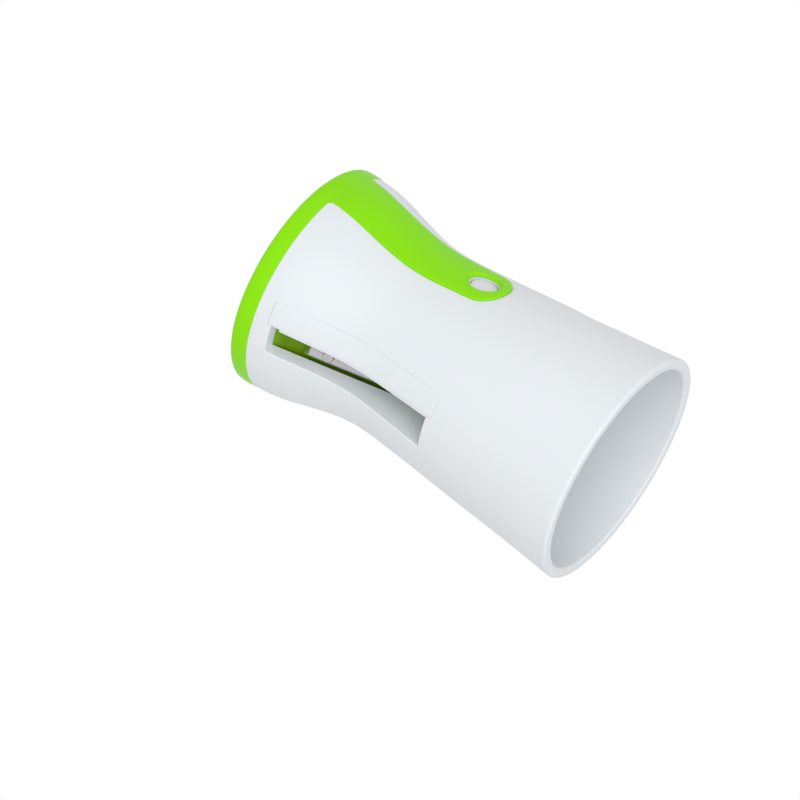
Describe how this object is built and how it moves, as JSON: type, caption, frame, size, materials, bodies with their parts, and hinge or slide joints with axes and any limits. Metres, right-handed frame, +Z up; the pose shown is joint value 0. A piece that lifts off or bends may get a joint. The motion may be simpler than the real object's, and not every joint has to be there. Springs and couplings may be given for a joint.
{
  "type": "hand-held conical spiral slicer",
  "caption": "Hourglass-shaped hand-held spiral slicer: a vegetable turned in the cone at its mouth is cut into strips that leave through a window in the side, with a push-button latch.",
  "frame": {"origin": "centre of the base rim, on the plane that the rim rests on", "axes": "+Z up along the axis from the open base to the collar, -Y towards the tongue and its button, the side window faces -X"},
  "size_m": [0.0798, 0.0798, 0.1249],
  "materials": {
    "white_plastic": "moulded, soft sheen",
    "button_plastic": "moulded, smooth",
    "green_plastic": "moulded, glossy",
    "blade_steel": "ground along its length",
    "spring_steel": "rolled strip",
    "screw_steel": "turned and passivated"
  },
  "bodies": {
    "housing": {"housing": "white_plastic", "blade_cover": "white_plastic", "latch_spring": "spring_steel", "latch_screws": "screw_steel"},
    "insert": {"collar": "green_plastic", "funnel": "green_plastic", "slicing_blade": "blade_steel", "julienne_comb": "blade_steel", "blade_clamp": "blade_steel", "blade_screws": "screw_steel"},
    "button": {"release_button": "button_plastic"}
  },
  "joints": [
    {"name": "insert_slide", "type": "slide", "parent": "housing", "child": "insert", "axis": [0, 0, 1], "range_m": [0, 0.075]},
    {"name": "button_press", "type": "slide", "parent": "housing", "child": "button", "axis": [0, 1, 0], "range_m": [0, 0.0014], "stiffness_N_per_m": 3000, "springref_m": -0.0004, "deforming": ["latch_spring"]}
  ]
}
